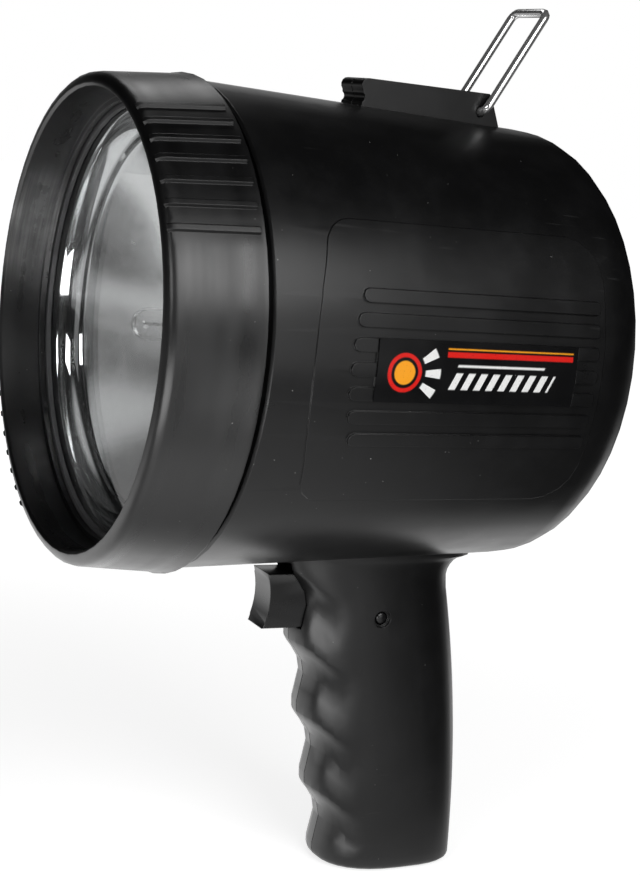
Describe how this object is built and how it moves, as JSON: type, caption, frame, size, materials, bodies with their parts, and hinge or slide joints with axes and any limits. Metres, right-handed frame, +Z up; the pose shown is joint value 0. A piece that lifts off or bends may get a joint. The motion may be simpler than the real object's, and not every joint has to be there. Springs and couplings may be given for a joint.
{
  "type": "hand-held rechargeable spotlight",
  "caption": "Hand-held rechargeable spotlight: round drum with a hooded lens, deep bright reflector, pistol grip with finger scallops, trigger, lock pin and a wire hanging bail.",
  "frame": {"origin": "middle of the bounding box's underside, which is the level of the grip's foot", "axes": "+Z up along the grip, -Y the way the lens faces, +X the side with the label"},
  "size_m": [0.1572, 0.1694, 0.3007],
  "materials": {
    "black_plastic": "satin moulded, lightly scuffed",
    "bezel_plastic": "satin moulded",
    "clear_lens": "clear polished",
    "gasket_rubber": "matt",
    "bright_reflector": "metallised",
    "bulb_glass": "clear",
    "filament_wire": "drawn",
    "bulb_metal": "plain",
    "holder_plastic": "matt",
    "inner_plastic": "matt",
    "battery_plastic": "matt",
    "terminal_metal": "tinned",
    "foam": "open-cell foam",
    "trigger_plastic": "satin moulded",
    "switch_plastic": "matt",
    "plunger_plastic": "matt",
    "spring_steel": "drawn",
    "pin_plastic": "satin",
    "bright_wire": "bright plated",
    "gloss_label": "glossy film",
    "screw_steel": "blackened",
    "socket_plastic": "matt",
    "red_led": "clear tinted",
    "board_green": "coated",
    "resistor_body": "matt",
    "diode_body": "matt",
    "red_wire": "smooth",
    "black_wire": "smooth",
    "yellow_wire": "smooth"
  },
  "bodies": {
    "housing": {"housing_left": "black_plastic", "housing_right": "black_plastic", "lens": "clear_lens", "lens_gasket": "gasket_rubber", "reflector": "bright_reflector", "bulb_glass": "bulb_glass", "bulb_filament": "filament_wire", "bulb_base": "bulb_metal", "bulb_holder": "holder_plastic", "bulkhead": "inner_plastic", "battery_case": "battery_plastic", "battery_terminal_positive": "terminal_metal", "battery_terminal_negative": "terminal_metal", "battery_pad": "foam", "switch_body": "switch_plastic", "trigger_spring": "spring_steel", "label_plate": "gloss_label", "housing_screw_1": "screw_steel", "housing_screw_2": "screw_steel", "housing_screw_3": "screw_steel", "housing_screw_4": "screw_steel", "housing_screw_5": "screw_steel", "housing_screw_6": "screw_steel", "charge_socket": "socket_plastic", "charge_led": "red_led", "circuit_board": "board_green", "board_resistor": "resistor_body", "board_diode": "diode_body", "wire_battery_switch": "red_wire", "wire_board_positive": "red_wire", "wire_battery_bulb": "black_wire", "wire_board_negative": "black_wire", "wire_switch_bulb": "yellow_wire"},
    "bezel": {"bezel_ring": "bezel_plastic"},
    "trigger": {"trigger": "trigger_plastic"},
    "switch_plunger": {"switch_plunger": "plunger_plastic"},
    "lock_pin": {"lock_pin": "pin_plastic"},
    "bail": {"bail_wire": "bright_wire"}
  },
  "joints": [
    {"name": "bezel_twist", "type": "hinge", "parent": "housing", "child": "bezel", "pos_m": [0, -0.07, 0.187], "axis": [0, -1, 0], "range_deg": [0, 20]},
    {"name": "trigger_slide", "type": "slide", "parent": "housing", "child": "trigger", "axis": [0, 1, 0], "range_m": [0, 0.0045], "stiffness_N_per_m": 300, "springref_m": -0.004, "deforming": ["trigger_spring"]},
    {"name": "plunger_slide", "type": "slide", "parent": "housing", "child": "switch_plunger", "axis": [0, 1, 0], "range_m": [0, 0.0045]},
    {"name": "lock_pin_slide", "type": "slide", "parent": "housing", "child": "lock_pin", "axis": [1, 0, 0], "range_m": [0, 0.004]},
    {"name": "bail_swing", "type": "hinge", "parent": "housing", "child": "bail", "pos_m": [0, 0.04885, 0.2646], "axis": [1, 0, 0], "range_deg": [-66, 106]}
  ],
  "couplings": [
    {"joint": "plunger_slide", "follows": "trigger_slide", "ratio": 1}
  ]
}
